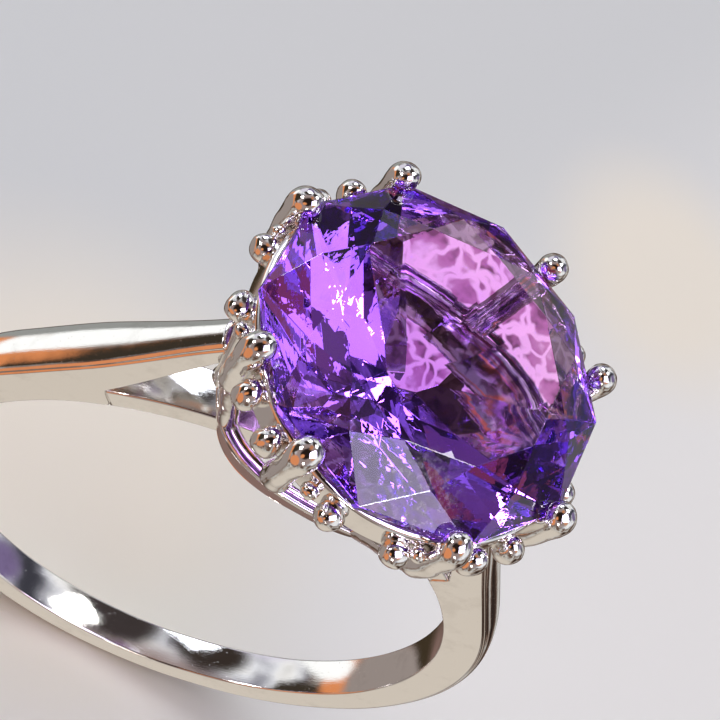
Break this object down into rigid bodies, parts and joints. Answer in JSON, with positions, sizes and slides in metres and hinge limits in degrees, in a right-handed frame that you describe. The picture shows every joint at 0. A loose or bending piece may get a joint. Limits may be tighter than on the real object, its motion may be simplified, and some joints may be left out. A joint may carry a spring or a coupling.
{
  "type": "cocktail ring",
  "caption": "Cocktail ring: a large faceted violet stone in a beaded claw head with an open gallery, on a domed silver band with cathedral shoulders.",
  "frame": {"origin": "centre of the finger hole, on its axis and midway across the band", "axes": "+Y along the finger, +Z from the finger to the stone, +X across to one shoulder"},
  "size_m": [0.0206, 0.0108, 0.0267],
  "materials": {
    "amethyst": "polished faceted gemstone",
    "polished_silver": "mirror polish, rhodium plated",
    "granulation": "mirror polished beads, rhodium plated"
  },
  "bodies": {
    "root": {"gemstone": "amethyst", "seat_rail": "polished_silver", "base_gallery": "polished_silver", "shank": "polished_silver", "bridge": "polished_silver", "claw_1": "polished_silver", "claw_2": "polished_silver", "claw_3": "polished_silver", "claw_4": "polished_silver", "claw_5": "polished_silver", "claw_6": "polished_silver", "claw_7": "polished_silver", "claw_8": "polished_silver", "gap_bead_1": "granulation", "gap_bead_2": "granulation", "gap_bead_3": "granulation", "gap_bead_4": "granulation", "gap_bead_5": "granulation", "gap_bead_6": "granulation", "gap_bead_7": "granulation", "gap_bead_8": "granulation", "granule_1": "granulation", "granule_2": "granulation", "granule_3": "granulation", "granule_4": "granulation", "granule_5": "granulation", "granule_6": "granulation", "granule_7": "granulation", "granule_8": "granulation", "pair_bead_1": "granulation", "pair_bead_2": "granulation", "pair_bead_3": "granulation", "pair_bead_4": "granulation", "pair_bead_5": "granulation", "pair_bead_6": "granulation", "pair_bead_7": "granulation", "pair_bead_8": "granulation", "shoulder_post_1": "polished_silver", "shoulder_post_2": "polished_silver", "shoulder_post_3": "polished_silver", "shoulder_post_4": "polished_silver"}
  },
  "joints": []
}
